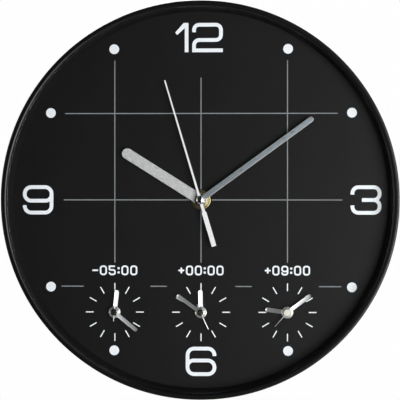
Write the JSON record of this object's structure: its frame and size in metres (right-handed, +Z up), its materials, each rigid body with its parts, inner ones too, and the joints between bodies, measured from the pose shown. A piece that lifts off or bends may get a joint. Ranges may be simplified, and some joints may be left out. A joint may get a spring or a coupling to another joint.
{
  "type": "world time clock",
  "caption": "Round black wall clock with a large dial, three small time-zone dials, brushed hands, battery movements and a keyhole hanger.",
  "frame": {"origin": "on the wall plane, at the axis of the wall screw that the clock hangs on", "axes": "+Z up towards 12 o'clock, front of the clock towards -Y, back towards +Y, +X to the right seen from the front"},
  "size_m": [0.305, 0.044, 0.305],
  "materials": {
    "rim_black": "satin gloss moulded ABS",
    "lens_clear": "clear, polished",
    "inner_wall_black": "matt moulded ABS",
    "dial_black": "dead matt black lacquer on aluminium sheet",
    "ink_white": "screen-printed ink",
    "ink_grey": "screen-printed ink",
    "panel_black": "moulded ABS",
    "screw_steel": "zinc plated",
    "movement_black": "moulded ABS, fine texture",
    "cell_jacket": "plain grey jacket on a steel can",
    "contact_nickel": "nickel plated spring steel",
    "board_green": "glass-fibre board",
    "winding_copper": "enamelled copper wire on a bobbin",
    "stator_steel": "soft iron sheet",
    "wheel_white": "moulded acetal",
    "plate_clear_grey": "moulded ABS",
    "brass": "turned brass",
    "hand_brushed": "brushed lengthwise",
    "hand_blue_grey": "brushed lengthwise, turned from the light",
    "hand_white": "white lacquer",
    "cap_chrome": "polished",
    "small_hand_silver": "stamped with a long groove, silver",
    "knob_white": "moulded acetal"
  },
  "bodies": {
    "case": {"case_ring": "rim_black", "lens": "lens_clear", "spacer_ring": "inner_wall_black", "dial_plate": "dial_black", "dial_print_white": "ink_white", "dial_print_grey": "ink_grey", "rear_panel": "panel_black", "case_screws": "screw_steel", "main_movement_cover": "movement_black", "main_movement_base": "movement_black", "main_battery": "cell_jacket", "main_battery_contacts": "contact_nickel", "main_circuit_board": "board_green", "main_coil": "winding_copper", "main_stator": "stator_steel", "main_train_plate": "plate_clear_grey", "main_washer": "brass", "main_lock_nut": "brass", "small_batteries": "cell_jacket", "small_battery_contacts": "contact_nickel", "small_movement_screws": "screw_steel", "left_zone_movement_cover": "movement_black", "left_zone_movement_base": "movement_black", "middle_zone_movement_cover": "movement_black", "middle_zone_movement_base": "movement_black", "right_zone_movement_cover": "movement_black", "right_zone_movement_base": "movement_black"},
    "main_seconds": {"main_second_wheel": "wheel_white", "main_second_hand": "hand_white", "main_hand_cap": "cap_chrome"},
    "main_minutes": {"main_centre_wheel": "brass", "main_minute_hand": "hand_blue_grey"},
    "main_hours": {"main_hour_wheel": "wheel_white", "main_hour_hand": "hand_brushed"},
    "main_setting": {"main_minute_wheel": "wheel_white", "main_set_knob": "knob_white"},
    "main_rotor": {"main_rotor": "wheel_white"},
    "main_step": {"main_step_wheel": "wheel_white"},
    "main_third": {"main_third_wheel": "wheel_white"},
    "left_zone_seconds": {"left_zone_second_wheel": "wheel_white", "left_zone_second_hand": "small_hand_silver"},
    "left_zone_minutes": {"left_zone_centre_wheel": "brass", "left_zone_minute_hand": "small_hand_silver"},
    "left_zone_hours": {"left_zone_hour_wheel": "wheel_white", "left_zone_hour_hand": "small_hand_silver"},
    "left_zone_setting": {"left_zone_set_knob": "knob_white"},
    "middle_zone_seconds": {"middle_zone_second_wheel": "wheel_white", "middle_zone_second_hand": "small_hand_silver"},
    "middle_zone_minutes": {"middle_zone_centre_wheel": "brass", "middle_zone_minute_hand": "small_hand_silver"},
    "middle_zone_hours": {"middle_zone_hour_wheel": "wheel_white", "middle_zone_hour_hand": "small_hand_silver"},
    "middle_zone_setting": {"middle_zone_set_knob": "knob_white"},
    "right_zone_seconds": {"right_zone_second_wheel": "wheel_white", "right_zone_second_hand": "small_hand_silver"},
    "right_zone_minutes": {"right_zone_centre_wheel": "brass", "right_zone_minute_hand": "small_hand_silver"},
    "right_zone_hours": {"right_zone_hour_wheel": "wheel_white", "right_zone_hour_hand": "small_hand_silver"},
    "right_zone_setting": {"right_zone_set_knob": "knob_white"}
  },
  "joints": [
    {"name": "main_seconds_turn", "type": "hinge", "parent": "case", "child": "main_seconds", "pos_m": [0, -0.02, -0.112], "axis": [0, 1, 0], "continuous": true},
    {"name": "main_minutes_turn", "type": "hinge", "parent": "case", "child": "main_minutes", "pos_m": [0, -0.02, -0.112], "axis": [0, 1, 0], "continuous": true},
    {"name": "main_hours_turn", "type": "hinge", "parent": "case", "child": "main_hours", "pos_m": [0, -0.02, -0.112], "axis": [0, 1, 0], "continuous": true},
    {"name": "main_setting_turn", "type": "hinge", "parent": "case", "child": "main_setting", "pos_m": [-0.00945, -0.02, -0.11033], "axis": [0, 1, 0], "continuous": true},
    {"name": "left_zone_seconds_turn", "type": "hinge", "parent": "case", "child": "left_zone_seconds", "pos_m": [-0.06651, -0.02, -0.19836], "axis": [0, 1, 0], "continuous": true},
    {"name": "left_zone_minutes_turn", "type": "hinge", "parent": "case", "child": "left_zone_minutes", "pos_m": [-0.06651, -0.02, -0.19836], "axis": [0, 1, 0], "continuous": true},
    {"name": "left_zone_hours_turn", "type": "hinge", "parent": "case", "child": "left_zone_hours", "pos_m": [-0.06651, -0.02, -0.19836], "axis": [0, 1, 0], "continuous": true},
    {"name": "left_zone_setting_turn", "type": "hinge", "parent": "case", "child": "left_zone_setting", "pos_m": [-0.07596, -0.02, -0.19669], "axis": [0, 1, 0], "continuous": true},
    {"name": "middle_zone_seconds_turn", "type": "hinge", "parent": "case", "child": "middle_zone_seconds", "pos_m": [0, -0.02, -0.19836], "axis": [0, 1, 0], "continuous": true},
    {"name": "middle_zone_minutes_turn", "type": "hinge", "parent": "case", "child": "middle_zone_minutes", "pos_m": [0, -0.02, -0.19836], "axis": [0, 1, 0], "continuous": true},
    {"name": "middle_zone_hours_turn", "type": "hinge", "parent": "case", "child": "middle_zone_hours", "pos_m": [0, -0.02, -0.19836], "axis": [0, 1, 0], "continuous": true},
    {"name": "middle_zone_setting_turn", "type": "hinge", "parent": "case", "child": "middle_zone_setting", "pos_m": [-0.00945, -0.02, -0.19669], "axis": [0, 1, 0], "continuous": true},
    {"name": "right_zone_seconds_turn", "type": "hinge", "parent": "case", "child": "right_zone_seconds", "pos_m": [0.06651, -0.02, -0.19836], "axis": [0, 1, 0], "continuous": true},
    {"name": "right_zone_minutes_turn", "type": "hinge", "parent": "case", "child": "right_zone_minutes", "pos_m": [0.06651, -0.02, -0.19836], "axis": [0, 1, 0], "continuous": true},
    {"name": "right_zone_hours_turn", "type": "hinge", "parent": "case", "child": "right_zone_hours", "pos_m": [0.06651, -0.02, -0.19836], "axis": [0, 1, 0], "continuous": true},
    {"name": "right_zone_setting_turn", "type": "hinge", "parent": "case", "child": "right_zone_setting", "pos_m": [0.05705, -0.02, -0.19669], "axis": [0, 1, 0], "continuous": true},
    {"name": "main_rotor_turn", "type": "hinge", "parent": "case", "child": "main_rotor", "pos_m": [-0.00032, -0.02, -0.09721], "axis": [0, 1, 0], "continuous": true},
    {"name": "main_step_turn", "type": "hinge", "parent": "case", "child": "main_step", "pos_m": [-0.00396, -0.02, -0.10352], "axis": [0, 1, 0], "continuous": true},
    {"name": "main_third_turn", "type": "hinge", "parent": "case", "child": "main_third", "pos_m": [0.00846, -0.02, -0.10892], "axis": [0, 1, 0], "continuous": true}
  ],
  "couplings": [
    {"joint": "main_minutes_turn", "follows": "main_seconds_turn", "ratio": 0.016667},
    {"joint": "main_hours_turn", "follows": "main_seconds_turn", "ratio": 0.0013889},
    {"joint": "main_setting_turn", "follows": "main_seconds_turn", "ratio": -0.0055556},
    {"joint": "left_zone_minutes_turn", "follows": "left_zone_seconds_turn", "ratio": 0.016667},
    {"joint": "left_zone_hours_turn", "follows": "left_zone_seconds_turn", "ratio": 0.0013889},
    {"joint": "left_zone_setting_turn", "follows": "left_zone_seconds_turn", "ratio": -0.0055556},
    {"joint": "middle_zone_minutes_turn", "follows": "middle_zone_seconds_turn", "ratio": 0.016667},
    {"joint": "middle_zone_hours_turn", "follows": "middle_zone_seconds_turn", "ratio": 0.0013889},
    {"joint": "middle_zone_setting_turn", "follows": "middle_zone_seconds_turn", "ratio": -0.0055556},
    {"joint": "right_zone_minutes_turn", "follows": "right_zone_seconds_turn", "ratio": 0.016667},
    {"joint": "right_zone_hours_turn", "follows": "right_zone_seconds_turn", "ratio": 0.0013889},
    {"joint": "right_zone_setting_turn", "follows": "right_zone_seconds_turn", "ratio": -0.0055556},
    {"joint": "main_rotor_turn", "follows": "main_seconds_turn", "ratio": 30},
    {"joint": "main_step_turn", "follows": "main_seconds_turn", "ratio": -5},
    {"joint": "main_third_turn", "follows": "main_seconds_turn", "ratio": -0.13333}
  ]
}
